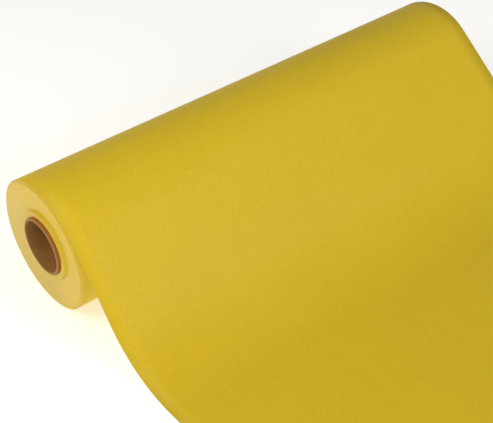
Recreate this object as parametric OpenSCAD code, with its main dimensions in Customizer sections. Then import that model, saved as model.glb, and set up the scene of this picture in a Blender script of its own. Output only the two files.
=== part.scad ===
// Roll of self-adhesive sign vinyl on a paperboard core, with its lead unrolled onto the table.
// X runs along the roll's axis, the lead runs towards -Y, and Z is up.
// The origin is on the core's axis, halfway along the web's width.

/* [Web] */
// Width of the web, which is film on a release liner
web_w = 762; // [610:1:1220]
// Thickness of the film with its adhesive
film_t = 0.10; // [0.08:0.01:0.14]
// Thickness of the release liner
liner_t = 0.15; // [0.12:0.01:0.18]
// Outer diameter of the full roll
roll_d = 190; // [180:1:200]

/* [Core] */
// Inside diameter of the core
core_id = 76.2; // [76:0.1:76.6]
// Thickness of one paperboard ply of the core's six
ply_t = 0.57; // [0.45:0.01:0.6]
// Length of the core
core_len = 768; // [764:1:772]
// How far the core stands out of the web's near edge
core_proud = 5; // [3:0.5:6]
// Width of the double-sided tape that starts the web on the core
tape_w = 25; // [19:1:38]
// Thickness of that tape
tape_t = 0.25; // [0.2:0.01:0.3]
// How far the tape stops short of each edge of the first laps
tape_inset = 6; // [2:1:20]

/* [Roll ends] */
// Diameter of the first laps, which end in a step at the near end
first_d = 104; // [101:1:110]
// Diameter at which that step starts
step_d = 99; // [90:1:100]
// How far the first laps stand out there
first_proud = 1; // [0:0.1:2]
// How far the next laps are set back
dish_depth = 3.4; // [1:0.1:4]
// How far the laps just inside the rim stand out
rim_proud = 2.2; // [0:0.1:3]
// Diameter at which the rim starts to round off
rim_d = 180; // [178:1:184]

/* [Lead] */
// Distance from the roll's axis to the end of the lead
lead_reach = 600; // [480:10:900]
// Near edge: angle in front of the top at which the web leaves the roll
near_leave = 31; // [28:1:36]
// Near edge: steepest slope of the lead
near_slope = 52.5; // [45:0.5:56]
// Near edge: radius of the bulge below the roll's shoulder
near_bulge_r = 144; // [110:1:180]
// Near edge: radius of the curve onto the table
near_foot_r = 152; // [120:1:180]
// Far edge: angle in front of the top at which the web leaves the roll
far_leave = 37; // [30:1:40]
// Far edge: steepest slope of the lead
far_slope = 38; // [38:0.5:50]
// Far edge: radius of the curve onto the table
far_foot_r = 210; // [150:1:240]

/* [Hidden] */

lap_t = film_t + liner_t;
roll_r = roll_d / 2;
core_ir = core_id / 2;
core_r = core_ir + 6 * ply_t;
// Air under the web where it lifts off the last lap, and between that lap and the laps that turn
lift_gap = 0.05;
turn_gap = 0.3;
last_r = roll_r - lap_t - lift_gap;
pack_r = last_r - lap_t - turn_gap;
pack_ir = core_r + tape_t + 0.05;
table_z = -last_r;

// The laps drifted sideways as they were wound, so each end is stepped like a shallow dish.
// Each entry is a radius and the distance that the laps there are shifted towards -X.
first_r = first_d / 2;
rim_r = rim_d / 2;
band_r = [first_r, first_r + (rim_r - first_r) * 0.45, first_r + (rim_r - first_r) * 0.8, rim_r];
function dish_shift(r) = -dish_depth + (dish_depth + rim_proud) * (r - first_r) / (rim_r - first_r);

// The lead's outline across one edge: [leaving angle, steepest slope, bulge radius, foot radius].
near_edge = [near_leave, near_slope, near_bulge_r, near_foot_r];
far_edge = [far_leave, far_slope, near_bulge_r, far_foot_r];
lead_steps = 40;
width_steps = 4;
// Steps are closer where the web lifts off the roll than they are on the flat.
step_growth = 1.4;

function edge_at(u) = near_edge + (far_edge - near_edge) * u;
// A direction square to the web: straight up on the table, and turned forward by angle a.
function square_to(a) = [-sin(a), cos(a)];
function along(a) = [-cos(a), -sin(a)];
function arc_len(r, a) = r * a * PI / 180;
function arc_angle(r, len) = len / r * 180 / PI;

// The film's outer face, followed down from the roll: bulge, straight, foot and flat.
function bulge_centre(e) = (roll_r - e[2]) * square_to(e[0]);
function bulge_len(e) = arc_len(e[2], e[1] - e[0]);
function straight_top(e) = bulge_centre(e) + e[2] * square_to(e[1]);
function straight_len(e) =
    (straight_top(e)[1] - table_z - lap_t - e[3] * (1 - cos(e[1]))) / sin(e[1]);
function foot_top(e) = straight_top(e) + straight_len(e) * along(e[1]);
function foot_centre(e) = foot_top(e) + e[3] * square_to(e[1]);
function foot_len(e) = arc_len(e[3], e[1]);
function curved_len(e) = bulge_len(e) + straight_len(e) + foot_len(e);
function lead_len(e) = curved_len(e) + lead_reach + foot_centre(e)[0];

// The point at length s down the lead, moved out from the film's face by out.
function lead_point(e, s, out) =
    s < bulge_len(e)
        ? bulge_centre(e) + (e[2] + out) * square_to(e[0] + arc_angle(e[2], s))
    : s < bulge_len(e) + straight_len(e)
        ? straight_top(e) + (s - bulge_len(e)) * along(e[1]) + out * square_to(e[1])
    : s < curved_len(e)
        ? foot_centre(e) - (e[3] - out) * square_to(arc_angle(e[3], curved_len(e) - s))
    : [foot_centre(e)[0] - (s - curved_len(e)), table_z + lap_t + out];

function lead_line(e, out) =
    [for (k = [0:lead_steps]) lead_point(e, lead_len(e) * pow(k / lead_steps, step_growth), out)];
function reversed(list) = [for (k = [len(list) - 1:-1:0]) list[k]];

// One layer of the lead, between two distances below the film's face.
module lead_layer(top, bottom) {
    ring = 2 * (lead_steps + 1);
    points = [
        for (i = [0:width_steps])
            for (p = concat(
                lead_line(edge_at(i / width_steps), -top),
                reversed(lead_line(edge_at(i / width_steps), -bottom))
            ))
                [web_w * (i / width_steps - 0.5), p[0], p[1]]
    ];
    // Both faces of the layer are cut along the same diagonals, so they stay parallel where it twists.
    sides = [
        for (i = [0:width_steps - 1])
            for (k = [0:ring - 1])
                let (a = i * ring + k, b = i * ring + (k + 1) % ring)
                    each k < lead_steps
                        ? [[a, a + ring, b], [b, a + ring, b + ring]]
                        : [[a, a + ring, b + ring], [a, b + ring, b]]
    ];
    near_cap = [
        for (k = [0:lead_steps - 1])
            let (a = ring - 1 - k)
                each [[k, k + 1, a - 1], [k, a - 1, a]]
    ];
    far_cap = [for (face = near_cap) [for (k = reversed(face)) k + width_steps * ring]];
    polyhedron(points, concat(sides, near_cap, far_cap), convexity = 4);
}

module along_x() {
    rotate([0, 90, 0]) children();
}

module tube(inner_r, outer_r, from_x, to_x) {
    translate([from_x, 0, 0]) along_x() difference() {
        cylinder(r = outer_r, h = to_x - from_x, $fn = 180);
        translate([0, 0, -1]) cylinder(r = inner_r, h = to_x - from_x + 2, $fn = 180);
    }
}

// One ply of the core, counted outwards from the bore.
module core_ply(n) {
    near_x = -web_w / 2 - core_proud;
    tube(core_ir + (n - 1) * ply_t, core_ir + n * ply_t, near_x, near_x + core_len);
}

// A band of laps whose ends follow [radius, shift] pairs from its inside to its outside.
module lap_band(steps) {
    near = [for (s = steps) [s[0], -web_w / 2 - s[1]]];
    far = [for (s = reversed(steps)) [s[0], web_w / 2 - s[1]]];
    along_x() rotate_extrude($fn = 180) polygon(concat(near, far));
}

module core_inner_ply() {
    color("#8a6238") core_ply(1);
}

module core_ply_2() {
    color("#9a7448") core_ply(2);
}

module core_ply_3() {
    color("#93703f") core_ply(3);
}

module core_ply_4() {
    color("#9f7a4c") core_ply(4);
}

module core_ply_5() {
    color("#93703f") core_ply(5);
}

module core_outer_ply() {
    color("#a56f29") core_ply(6);
}

// The tape lies along the core under the web's first edge, just short of both ends of the first laps.
module start_tape() {
    tape_len = web_w - 2 * tape_inset;
    color("#e8e4d4") along_x() translate([0, 0, -tape_len / 2])
        rotate_extrude(angle = arc_angle(core_r, tape_w), $fn = 180)
            translate([core_r, 0]) square([tape_t, tape_len]);
}

module first_laps() {
    color("#e1bb4a") lap_band([[pack_ir, 0], [step_d / 2, first_proud], [first_r, -dish_depth]]);
}

module inner_laps() {
    color("#d8bd70") lap_band([for (r = [band_r[0], band_r[1]]) [r, dish_shift(r)]]);
}

module middle_laps() {
    color("#d8bd66") lap_band([for (r = [band_r[1], band_r[2]]) [r, dish_shift(r)]]);
}

module outer_laps() {
    color("#d8bb58")
        lap_band([for (r = [band_r[2], band_r[3], pack_r]) [r, r < pack_r ? dish_shift(r) : 0]]);
}

module last_lap_liner() {
    color("#e7d7a2") tube(last_r - lap_t, last_r - film_t, -web_w / 2, web_w / 2);
}

module last_lap_film() {
    color("#d6b734") tube(last_r - film_t, last_r, -web_w / 2, web_w / 2);
}

module lead_liner() {
    color("#e7d7a2") lead_layer(film_t, lap_t);
}

module lead_film() {
    color("#d6b734") lead_layer(0, film_t);
}

core_inner_ply();
core_ply_2();
core_ply_3();
core_ply_4();
core_ply_5();
core_outer_ply();
start_tape();
first_laps();
inner_laps();
middle_laps();
outer_laps();
last_lap_liner();
last_lap_film();
lead_liner();
lead_film();
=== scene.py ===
"""Roll of yellow sign vinyl with its lead drawn out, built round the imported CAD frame."""

import math

import bpy
import numpy as np
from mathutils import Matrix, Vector


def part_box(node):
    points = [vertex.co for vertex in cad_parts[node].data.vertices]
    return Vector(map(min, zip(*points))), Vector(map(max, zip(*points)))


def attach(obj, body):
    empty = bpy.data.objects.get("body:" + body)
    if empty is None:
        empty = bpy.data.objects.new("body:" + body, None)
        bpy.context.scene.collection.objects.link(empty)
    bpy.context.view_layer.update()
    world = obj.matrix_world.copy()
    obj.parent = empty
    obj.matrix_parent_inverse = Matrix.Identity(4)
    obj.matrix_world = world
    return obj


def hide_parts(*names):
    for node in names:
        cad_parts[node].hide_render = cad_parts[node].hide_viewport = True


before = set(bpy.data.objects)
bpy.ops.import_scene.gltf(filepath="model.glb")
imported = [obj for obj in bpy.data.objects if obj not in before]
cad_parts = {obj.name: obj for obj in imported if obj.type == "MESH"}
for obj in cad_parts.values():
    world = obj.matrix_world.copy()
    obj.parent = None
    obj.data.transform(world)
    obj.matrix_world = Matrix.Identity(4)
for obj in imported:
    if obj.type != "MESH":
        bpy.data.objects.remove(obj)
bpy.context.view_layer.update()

# ---------------------------------------------------------------- sizes, in metres and degrees

FILM_T = 0.00010
LINER_T = 0.00015
LAP_T = FILM_T + LINER_T
LIFT_GAP = 0.00005

web_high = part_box("last_lap_film")[1]
HALF_W = web_high.x
ROLL_R = web_high.z + LAP_T + LIFT_GAP
TABLE_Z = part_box("lead_liner")[0].z
LEAD_REACH = -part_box("lead_film")[0].y

core_low, core_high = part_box("core_outer_ply")
CORE_NEAR, CORE_FAR = core_low.x, core_high.x
CORE_R = core_high.z
BORE_R = 0.0381
PLIES = ["core_inner_ply", "core_ply_2", "core_ply_3", "core_ply_4", "core_ply_5", "core_outer_ply"]
PLY_T = (CORE_R - BORE_R) / len(PLIES)

# The laps are shifted towards the near end by SHIFT at the radii SHIFT_AT, and evenly between them.
PACK_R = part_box("outer_laps")[1].z
FIRST_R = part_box("first_laps")[1].z
STEP_R = 0.0495
RIM_R = 0.0900
FIRST_PROUD = -HALF_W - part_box("first_laps")[0].x
DISH_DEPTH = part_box("inner_laps")[1].x - HALF_W
RIM_PROUD = -HALF_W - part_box("outer_laps")[0].x
SHIFT_AT = (CORE_R, STEP_R, FIRST_R, RIM_R, PACK_R)
SHIFT = (0.0, FIRST_PROUD, -DISH_DEPTH, RIM_PROUD, 0.0)

# Outline of the lead at each edge: leaving angle, steepest slope, bulge radius, foot radius.
NEAR_EDGE = (31.0, 52.5, 0.144, 0.152)
FAR_EDGE = (37.0, 38.0, 0.144, 0.210)


# ---------------------------------------------------------------- mesh helpers

def make_object(name, vertices, smooth_faces, flat_faces, materials):
    """A mesh object. Its flat faces, such as a sheet's cut edges, meet the smooth ones sharply."""
    mesh = bpy.data.meshes.new(name)
    mesh.from_pydata([tuple(v) for v in vertices], [], [*smooth_faces, *flat_faces])
    smooth = [True] * len(smooth_faces) + [False] * len(flat_faces)
    mesh.polygons.foreach_set("use_smooth", smooth)
    mesh.update()
    for material in materials:
        mesh.materials.append(material)
    obj = bpy.data.objects.new(name, mesh)
    bpy.context.scene.collection.objects.link(obj)
    return obj


def grid_faces(rows, columns, loop_columns=False):
    """Quads of a grid of points, row by row. Looped columns close on themselves."""
    last = columns if loop_columns else columns - 1
    faces = []
    for i in range(rows - 1):
        for j in range(last):
            a, b = i * columns + j, i * columns + (j + 1) % columns
            faces.append((a, b, b + columns, a + columns))
    return faces


def square_to(angle):
    """Direction square to the web where it faces `angle` degrees in front of up, as (y, z)."""
    return np.array([-math.sin(math.radians(angle)), math.cos(math.radians(angle))])


def along(angle):
    """Direction down the web where it slopes at `angle` degrees, as (y, z)."""
    return np.array([-math.cos(math.radians(angle)), -math.sin(math.radians(angle))])


# ---------------------------------------------------------------- the lead's outline

# The last lap is wound this much slacker than the laps below it, so that it closes down onto them.
TURN_SLACK = 0.00025


class Edge:
    """The film's outer face across one width of the lead: bulge, straight, foot and flat."""

    def __init__(self, u):
        leave, slope, bulge_r, foot_r = (n + (f - n) * u for n, f in zip(NEAR_EDGE, FAR_EDGE))
        self.leave, self.slope, self.bulge_r, self.foot_r = leave, slope, bulge_r, foot_r
        self.bulge_centre = (ROLL_R - bulge_r) * square_to(leave)
        self.bulge_len = bulge_r * math.radians(slope - leave)
        self.straight_top = self.bulge_centre + bulge_r * square_to(slope)
        drop = self.straight_top[1] - TABLE_Z - LAP_T - foot_r * (1 - math.cos(math.radians(slope)))
        self.straight_len = drop / math.sin(math.radians(slope))
        foot_top = self.straight_top + self.straight_len * along(slope)
        self.foot_centre = foot_top + foot_r * square_to(slope)
        self.curved_len = self.bulge_len + self.straight_len + foot_r * math.radians(slope)
        self.length = self.curved_len + LEAD_REACH + self.foot_centre[0]

    def point(self, s, out):
        """(y, z) at length s down the lead, moved out from the film's face. Below 0, s is on the roll."""
        if s < 0:
            angle = self.leave + math.degrees(s / ROLL_R)
            radius = ROLL_R + (LAP_T + TURN_SLACK) * s / (2 * math.pi * ROLL_R)
            return (radius + out) * square_to(angle)
        if s < self.bulge_len:
            angle = self.leave + math.degrees(s / self.bulge_r)
            return self.bulge_centre + (self.bulge_r + out) * square_to(angle)
        if s < self.bulge_len + self.straight_len:
            run = (s - self.bulge_len) * along(self.slope)
            return self.straight_top + run + out * square_to(self.slope)
        if s < self.curved_len:
            angle = math.degrees((self.curved_len - s) / self.foot_r)
            return self.foot_centre - (self.foot_r - out) * square_to(angle)
        return np.array([self.foot_centre[0] - (s - self.curved_len), TABLE_Z + LAP_T + out])


# ---------------------------------------------------------------- materials

def new_material(name):
    """(material, its nodes, its links, its Principled shader)."""
    material = bpy.data.materials.new(name)
    material.use_nodes = True
    nodes, links = material.node_tree.nodes, material.node_tree.links
    return material, nodes, links, nodes["Principled BSDF"]


def noise(nodes, links, scale, detail=2.0, stretch=(1.0, 1.0, 1.0), seed=0.0):
    """A noise texture in object space. It is drawn out along an axis whose stretch is under 1."""
    coordinates = nodes.new("ShaderNodeTexCoord")
    mapping = nodes.new("ShaderNodeMapping")
    mapping.inputs["Scale"].default_value = stretch
    mapping.inputs["Location"].default_value = (seed, seed * 0.7, seed * 0.3)
    texture = nodes.new("ShaderNodeTexNoise")
    texture.inputs["Scale"].default_value = scale
    texture.inputs["Detail"].default_value = detail
    links.new(coordinates.outputs["Object"], mapping.inputs["Vector"])
    links.new(mapping.outputs["Vector"], texture.inputs["Vector"])
    return texture.outputs["Fac"]


def remap(nodes, links, value, low, high, to_low, to_high):
    """A value mapped from the range low to high onto the range to_low to to_high."""
    node = nodes.new("ShaderNodeMapRange")
    node.inputs["From Min"].default_value = low
    node.inputs["From Max"].default_value = high
    node.inputs["To Min"].default_value = to_low
    node.inputs["To Max"].default_value = to_high
    links.new(value, node.inputs["Value"])
    return node.outputs["Result"]


def spread(nodes, links, texture, to_low, to_high):
    """A noise texture's usual range mapped onto the range to_low to to_high."""
    return remap(nodes, links, texture, 0.3, 0.7, to_low, to_high)


def layered(nodes, links, layers):
    """The sum of (noise, share) layers, each noise spread from 0 to its share."""
    parts = [spread(nodes, links, texture, 0.0, share) for texture, share in layers]
    total = parts[0]
    for part in parts[1:]:
        node = nodes.new("ShaderNodeMath")
        node.operation = "ADD"
        links.new(total, node.inputs[0])
        links.new(part, node.inputs[1])
        total = node.outputs["Value"]
    return total


def mix_colour(nodes, links, factor, a, b):
    """Colour a where the factor is 0 and b where it is 1. Each colour is a tuple or a socket."""
    node = nodes.new("ShaderNodeMix")
    node.data_type = "RGBA"
    links.new(factor, node.inputs["Factor"])
    for key, value in (("A", a), ("B", b)):
        socket = [s for s in node.inputs if s.name == key and s.type == "RGBA"][0]
        if isinstance(value, tuple):
            socket.default_value = (*value, 1.0)
        else:
            links.new(value, socket)
    return [s for s in node.outputs if s.type == "RGBA"][0]


def bump(nodes, links, height, distance, strength, normal=None):
    """A bumped normal, on top of another where one is given."""
    node = nodes.new("ShaderNodeBump")
    node.inputs["Distance"].default_value = distance
    node.inputs["Strength"].default_value = strength
    links.new(height, node.inputs["Height"])
    if normal is not None:
        links.new(normal, node.inputs["Normal"])
    return node.outputs["Normal"]


def film_material(name, light, dark, speck_size=0.0):
    """Matte calendered vinyl: fine grain, faint bands along the web, and a rare dark speck."""
    material, nodes, links, shader = new_material(name)
    grain = noise(nodes, links, 620, 3)
    mottle = noise(nodes, links, 210, 2, seed=3.0)
    cloud = noise(nodes, links, 9, 2, seed=5.0)
    band = noise(nodes, links, 45, 3, stretch=(1.0, 0.02, 0.02), seed=8.0)
    tone = layered(nodes, links, [(grain, 0.48), (mottle, 0.28), (cloud, 0.14), (band, 0.1)])
    colour = mix_colour(nodes, links, tone, light, dark)
    if speck_size:
        cells = nodes.new("ShaderNodeTexVoronoi")
        cells.inputs["Scale"].default_value = 7.0
        coordinates = nodes.new("ShaderNodeTexCoord")
        links.new(coordinates.outputs["Object"], cells.inputs["Vector"])
        distance = cells.outputs["Distance"]
        speck = remap(nodes, links, distance, speck_size * 5, speck_size * 9, 0.75, 0.0)
        colour = mix_colour(nodes, links, speck, colour, (0.10, 0.06, 0.01))
    links.new(colour, shader.inputs["Base Color"])
    links.new(spread(nodes, links, mottle, 0.50, 0.60), shader.inputs["Roughness"])
    shader.inputs["Specular IOR Level"].default_value = 0.35
    fine = noise(nodes, links, 1900, 2, seed=11.0)
    normal = bump(nodes, links, fine, 0.00006, 0.35)
    normal = bump(nodes, links, band, 0.00010, 0.25, normal)
    links.new(normal, shader.inputs["Normal"])
    return material


def liner_material(name, light, dark):
    """Clay-coated release paper, smooth, with faint fibres."""
    material, nodes, links, shader = new_material(name)
    fibre = noise(nodes, links, 500, 4, stretch=(1.0, 0.35, 0.35), seed=2.0)
    cloud = noise(nodes, links, 25, 3, seed=6.0)
    tone = layered(nodes, links, [(fibre, 0.6), (cloud, 0.4)])
    links.new(mix_colour(nodes, links, tone, light, dark), shader.inputs["Base Color"])
    links.new(spread(nodes, links, fibre, 0.38, 0.5), shader.inputs["Roughness"])
    links.new(bump(nodes, links, fibre, 0.00004, 0.3), shader.inputs["Normal"])
    return material


def board_material(name, light, dark, fleck, fleck_share=0.45):
    """Recycled paperboard: long fibres, cloudy tone, and darker and lighter flecks."""
    material, nodes, links, shader = new_material(name)
    fibre = noise(nodes, links, 420, 5, stretch=(0.55, 1.0, 1.0), seed=1.0)
    cloud = noise(nodes, links, 60, 4, seed=4.0)
    tone = layered(nodes, links, [(fibre, 0.6), (cloud, 0.4)])
    colour = mix_colour(nodes, links, tone, light, dark)
    dots = noise(nodes, links, 900, 2, seed=7.0)
    dark_flecks = remap(nodes, links, dots, 0.60, 0.72, 0.0, fleck_share)
    colour = mix_colour(nodes, links, dark_flecks, colour, fleck)
    pale = noise(nodes, links, 700, 2, seed=9.0)
    pale_flecks = remap(nodes, links, pale, 0.64, 0.74, 0.0, 0.35)
    colour = mix_colour(nodes, links, pale_flecks, colour, light)
    links.new(colour, shader.inputs["Base Color"])
    links.new(spread(nodes, links, cloud, 0.78, 0.92), shader.inputs["Roughness"])
    shader.inputs["Specular IOR Level"].default_value = 0.25
    links.new(bump(nodes, links, fibre, 0.00025, 0.5), shader.inputs["Normal"])
    return material


# Each material's two tones are mixed by its grain. Board has a third tone, for its dark flecks.
FILM = film_material("vinyl_film", (0.830, 0.590, 0.017), (0.710, 0.490, 0.008), speck_size=0.0011)
FILM_EDGE = film_material("vinyl_slit_edge", (0.780, 0.550, 0.030), (0.700, 0.475, 0.015))
LINER = liner_material("release_liner", (0.835, 0.715, 0.390), (0.765, 0.640, 0.325))
LINER_EDGE = liner_material("liner_slit_edge", (0.785, 0.590, 0.100), (0.710, 0.512, 0.072))
BORE_BOARD = board_material(
    "core_bore_board", (0.430, 0.220, 0.065), (0.300, 0.140, 0.036), (0.110, 0.048, 0.014))
PLY_BOARD = board_material(
    "core_ply_board", (0.410, 0.242, 0.110), (0.320, 0.176, 0.072), (0.150, 0.080, 0.037),
    fleck_share=0.3)
KRAFT = board_material(
    "core_kraft_wrap", (0.430, 0.155, 0.016), (0.340, 0.112, 0.010), (0.160, 0.060, 0.008),
    fleck_share=0.2)
TAPE = liner_material("start_tape_film", (0.80, 0.78, 0.68), (0.72, 0.70, 0.60))


# ---------------------------------------------------------------- the web: last lap and lead

TURN_STEPS = 176
CURVE_STEPS = 120
FLAT_STEPS = 10
WIDTH_STEPS = 32
# The last lap starts this many degrees past the line where the web lifts off, under the lead.
START_PAST = 6.0


def web_stations(edge):
    """Lengths down the web, from the last lap's hidden start to the lead's end."""
    turn = 2 * math.pi * ROLL_R * (360 - START_PAST) / 360
    return np.concatenate([
        np.linspace(-turn, 0, TURN_STEPS, endpoint=False),
        np.linspace(0, edge.curved_len, CURVE_STEPS, endpoint=False),
        np.linspace(edge.curved_len, edge.length, FLAT_STEPS),
    ])


def web_sheet(name, top, bottom, material):
    """A closed sheet, from the last lap to the lead's end, between two distances below the film's face."""
    rows = TURN_STEPS + CURVE_STEPS + FLAT_STEPS
    points = []
    for out in (-top, -bottom):
        grid = np.zeros((rows, WIDTH_STEPS + 1, 3))
        for j in range(WIDTH_STEPS + 1):
            u = j / WIDTH_STEPS
            edge = Edge(u)
            grid[:, j, 0] = HALF_W * (2 * u - 1)
            grid[:, j, 1:] = [edge.point(s, out) for s in web_stations(edge)]
        points.append(grid.reshape(-1, 3))
    columns = WIDTH_STEPS + 1
    shift = rows * columns
    lower = [tuple(v + shift for v in face) for face in grid_faces(rows, columns)]
    upper = [face[::-1] for face in grid_faces(rows, columns)]
    first, last = range(columns), range(shift - columns, shift)
    left, right = range(0, shift, columns), range(columns - 1, shift, columns)
    rim = []
    for line, turned in ((first, True), (last, False), (left, False), (right, True)):
        line = list(line)
        for a, b in zip(line, line[1:]):
            face = (a, b, b + shift, a + shift)
            rim.append(face if turned else face[::-1])
    return make_object(name, np.concatenate(points), upper + lower, rim, [material])


film_web = web_sheet("film_lead_and_last_lap", 0.0, FILM_T, FILM)
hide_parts("last_lap_film", "lead_film")
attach(film_web, "web")

liner_web = web_sheet("liner_lead_and_last_lap", FILM_T, LAP_T, LINER)
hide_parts("last_lap_liner", "lead_liner")
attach(liner_web, "web")


# ---------------------------------------------------------------- the wound laps

LAP_STEPS = 72
# Radius at which the first lap starts, over the tape on the core.
PACK_START_R = CORE_R + 0.0003
# The spiral's outside ends at PACK_R, so it turns clear of the last lap.
LAPS = (PACK_R - PACK_START_R) / LAP_T - 1
# The turns in the shift are rounded over this much radius to each side.
SHIFT_ROUND = 0.0008
# Ripples in the shift as the roll grows: size, radians a metre of radius, and phase.
RIPPLES = ((0.00010, 2100, 0.6), (0.00007, 5300, 1.9))
# Each lap also lies askew, turned by so many radians a metre of radius, and wanders by itself.
ASKEW = 0.00010
ASKEW_TWIST = 90
WANDER = 0.00004
rng = np.random.default_rng(7)
LAP_WANDER = rng.uniform(-1, 1, int(LAPS) + 3)


def lap_shift(radius, angle):
    """How far a lap is shifted towards the near end: the rounded outline, and each lap's own wander."""
    steps = np.linspace(-SHIFT_ROUND, SHIFT_ROUND, 5)
    shift = np.mean([np.interp(radius + step, SHIFT_AT, SHIFT) for step in steps], axis=0)
    drift = sum(size * np.sin(radius * rate + phase) for size, rate, phase in RIPPLES)
    drift += ASKEW * np.sin(angle + radius * ASKEW_TWIST)
    lap = (radius - PACK_START_R) / LAP_T
    low = np.clip(lap.astype(int), 0, len(LAP_WANDER) - 2)
    part = lap - low
    return shift + drift + WANDER * (LAP_WANDER[low] * (1 - part) + LAP_WANDER[low + 1] * part)


def lap_spiral(name, inner, outer, edge_material, face_material):
    """One layer of the web wound from the core to the last lap but one, as a closed spiral strip."""
    steps = int(LAPS * LAP_STEPS)
    turn = np.arange(steps + 1) / LAP_STEPS
    angle = 2 * math.pi * turn
    base = PACK_START_R + LAP_T * turn
    shift = lap_shift(base, angle)
    corners = []
    for side, out in ((-1, inner), (-1, outer), (1, outer), (1, inner)):
        radius = base + out
        x = side * HALF_W - shift
        corners.append(np.stack([x, radius * np.sin(angle), radius * np.cos(angle)], 1))
    vertices = np.stack(corners, 1).reshape(-1, 3)
    edges, broad = [], []
    for a in range(0, 4 * steps, 4):
        b = a + 4
        edges += [(a, a + 1, b + 1, b), (a + 2, a + 3, b + 3, b + 2)]
        broad += [(a + 1, a + 2, b + 2, b + 1), (a + 3, a, b, b + 3)]
    ends = [(3, 2, 1, 0), tuple(4 * steps + k for k in range(4))]
    spiral = make_object(name, vertices, broad, edges + ends, [face_material, edge_material])
    spiral.data.polygons.foreach_set("material_index", [0] * len(broad) + [1] * len(edges + ends))
    return spiral


film_laps = lap_spiral("film_laps", LINER_T, LAP_T, FILM_EDGE, FILM)
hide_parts("first_laps", "inner_laps", "middle_laps", "outer_laps")
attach(film_laps, "roll")

liner_laps = lap_spiral("liner_laps", 0.0, LINER_T, LINER_EDGE, LINER)
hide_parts("first_laps", "inner_laps", "middle_laps", "outer_laps")
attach(liner_laps, "roll")


# ---------------------------------------------------------------- the core

CORE_STEPS = 96
# The bore's ply is a strip wound at this pitch, with its butt seam this many degrees open.
SEAM_PITCH = 0.124
SEAM_GAP = 0.5
# Each ply's first column of points lies this many degrees round from the top.
FIRST_COLUMN = 40
# Length of a row of faces along the bore's strip, and along the other plies.
STRIP_ROW = SEAM_PITCH / 60
TUBE_ROW = 0.05
# The core's ends are worn round towards the outside, by this much at the outer ply.
END_WEAR = 0.0012
# The saw left the ends wavy: size and waves a turn. Every other ply also stands out a little.
SAW_WAVES = ((0.00006, 5), (0.00004, 13))
PLY_STEP = 0.00005


def end_wear(radius):
    """How far the core's end face is worn back at a radius."""
    return END_WEAR * ((radius - BORE_R) / (CORE_R - BORE_R)) ** 3


def end_dip(fractions, number):
    """How far a ply's cut ends dip in from the worn face, round its turn."""
    (coarse, coarse_waves), (fine, fine_waves) = SAW_WAVES
    turn = fractions * 2 * math.pi
    wave = coarse * np.sin(turn * coarse_waves + number) + fine * np.sin(turn * fine_waves)
    return wave - PLY_STEP * (number % 2)


def ply_rows(radius, row_len):
    """(x, radius, whether it is a cut end) for each row of points along one face of a ply."""
    wear = end_wear(radius)
    rows = max(2, int((CORE_FAR - CORE_NEAR) / row_len))
    xs = np.linspace(CORE_NEAR + wear, CORE_FAR - wear, rows)
    return [(x, radius, i in (0, rows - 1)) for i, x in enumerate(xs)]


def ply_points(rows, number, helical):
    """The points of a ply, row by row, each row going once round."""
    sweep = 360 - SEAM_GAP if helical else 360
    columns = CORE_STEPS + 1 if helical else CORE_STEPS
    fractions = np.linspace(0, 1, columns, endpoint=helical)
    dip = end_dip(fractions, number)
    points = []
    for x, radius, cut_end in rows:
        start = 360 * (x - CORE_NEAR) / SEAM_PITCH if helical else 0
        angles = np.radians(start + FIRST_COLUMN + fractions * sweep)
        inwards = 1 if x < 0 else -1
        xs = np.clip(x + cut_end * dip * inwards, CORE_NEAR, CORE_FAR)
        points.append(np.stack([xs, radius * np.sin(angles), radius * np.cos(angles)], 1))
    return np.concatenate(points)


def ply_cuts(rows, columns, helical):
    """The faces of a ply's cut ends and, on the strip, of the two sides of its seam."""
    half = rows * columns
    cuts = []
    for j in range(columns - 1 if helical else columns):
        k = (j + 1) % columns
        cuts.append((j, k, half + k, half + j))
        a, b = half - columns + j, half - columns + k
        cuts.append((b, a, a + half, b + half))
    if helical:
        for a in range(0, half - columns, columns):
            b = a + columns
            cuts.append((a, a + half, b + half, b))
            a_end, b_end = a + columns - 1, b + columns - 1
            cuts.append((b_end, b_end + half, a_end + half, a_end))
    return cuts


def ply_tube(name, number, material):
    """One ply. The bore's is a helical strip with its seam open, and the others are whole tubes."""
    helical = number == 0
    row_len = STRIP_ROW if helical else TUBE_ROW
    inner = BORE_R + PLY_T * number
    outside, inside = ply_rows(inner + PLY_T, row_len), ply_rows(inner, row_len)
    columns = CORE_STEPS + 1 if helical else CORE_STEPS
    half = len(outside) * columns
    faces = grid_faces(len(outside), columns, not helical)
    if helical:
        # The strip's quads are sheared, so each is split along its short diagonal.
        faces = [triangle for a, b, c, d in faces for triangle in ((a, b, d), (b, c, d))]
    walls = [face[::-1] for face in faces]
    walls += [tuple(v + half for v in face) for face in faces]
    points = ply_points(outside + inside, number, helical)
    cuts = ply_cuts(len(outside), columns, helical)
    ply = make_object(name, points, walls, cuts, [material])
    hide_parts(PLIES[number])
    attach(ply, "roll")


ply_tube("bore_ply_strip", 0, BORE_BOARD)
for number in range(1, len(PLIES) - 1):
    ply_tube(f"board_ply_{number + 1}", number, PLY_BOARD)
ply_tube("kraft_wrap_ply", len(PLIES) - 1, KRAFT)

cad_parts["start_tape"].material_slots[0].material = TAPE


# ---------------------------------------------------------------- floor, light and camera

# The floor reaches this far each way, and lies this far under the lead.
FLOOR_REACH = 12.0
FLOOR_GAP = 0.0003
# The floor and the world give off their own light, to keep the ground and the shadows pale.
FLOOR_GLOW = 0.45
WORLD_GLOW = 0.36
# The softboxes are aimed here, at the roll's near half.
LIT_POINT = Vector((-0.3, -0.1, 0.0))
CAMERA_AT = ROLL_R * Vector((-9.0149, -10.2784, 9.5015))
CAMERA_AZIMUTH = -40.284
CAMERA_ELEVATION = 38.757
CAMERA_LENS = 76.24


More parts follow.
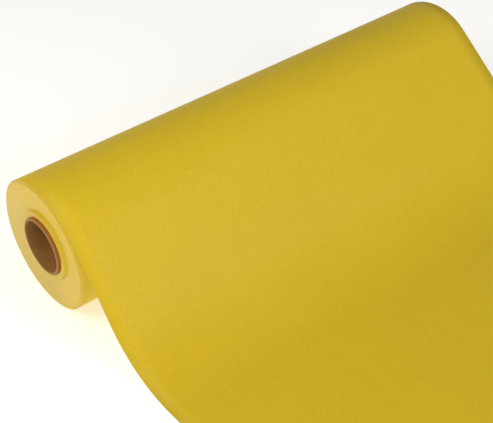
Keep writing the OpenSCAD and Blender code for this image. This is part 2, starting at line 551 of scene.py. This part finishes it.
def make_floor():
    """A plain pale floor, just under the roll and its lead."""
    material, nodes, links, shader = new_material("pale_floor")
    tone = noise(nodes, links, 3, 2)
    colour = mix_colour(nodes, links, tone, (0.93, 0.93, 0.92), (0.90, 0.90, 0.90))
    links.new(colour, shader.inputs["Base Color"])
    shader.inputs["Roughness"].default_value = 0.9
    shader.inputs["Specular IOR Level"].default_value = 0.1
    shader.inputs["Emission Color"].default_value = (1.0, 1.0, 1.0, 1.0)
    shader.inputs["Emission Strength"].default_value = FLOOR_GLOW
    top = TABLE_Z - FLOOR_GAP
    signs = ((-1, -1), (1, -1), (1, 1), (-1, 1))
    corners = [(x * FLOOR_REACH, y * FLOOR_REACH, top) for x, y in signs]
    floor = make_object("floor", corners, [], [(0, 1, 2, 3)], [material])


def direction(azimuth, elevation):
    """The way to a viewer or a light. Azimuth 0 is in front of the lead, and 90 is at +X."""
    a, e = math.radians(azimuth), math.radians(elevation)
    return Vector((math.sin(a) * math.cos(e), -math.cos(a) * math.cos(e), math.sin(e)))


def look_along(obj, away):
    """Turn a camera or a light to face back down the direction away."""
    obj.rotation_mode = "QUATERNION"
    obj.rotation_quaternion = (-away).to_track_quat("-Z", "Y")


def make_light(name, azimuth, elevation, distance, size, power, colour):
    """A round softbox aimed at LIT_POINT."""
    data = bpy.data.lights.new(name, "AREA")
    data.shape = "DISK"
    data.size = size
    data.energy = power
    data.color = colour
    light = bpy.data.objects.new(name, data)
    away = direction(azimuth, elevation)
    light.location = LIT_POINT + distance * away
    look_along(light, away)
    bpy.context.scene.collection.objects.link(light)


def make_world():
    """Even white light from all round."""
    world = bpy.data.worlds.new("studio")
    world.use_nodes = True
    background = world.node_tree.nodes["Background"]
    background.inputs["Color"].default_value = (1.0, 1.0, 1.0, 1.0)
    background.inputs["Strength"].default_value = WORLD_GLOW
    bpy.context.scene.world = world


def make_camera():
    """The photographer's place: in front of the near end and above it, on a long lens."""
    data = bpy.data.cameras.new("camera")
    data.sensor_width = 36.0
    data.lens = CAMERA_LENS
    data.clip_start, data.clip_end = 0.05, 60.0
    camera = bpy.data.objects.new("camera", data)
    camera.location = CAMERA_AT
    look_along(camera, direction(CAMERA_AZIMUTH, CAMERA_ELEVATION))
    bpy.context.scene.collection.objects.link(camera)
    bpy.context.scene.camera = camera


make_floor()
make_world()
make_light("window", azimuth=20, elevation=24, distance=2.4, size=1.5, power=17.5, colour=(1.0, 1.0, 0.94))
make_light("lamp", azimuth=-95, elevation=48, distance=1.5, size=1.0, power=9.5, colour=(1.0, 0.93, 0.78))
make_camera()
bpy.context.scene.view_settings.view_transform = "Standard"
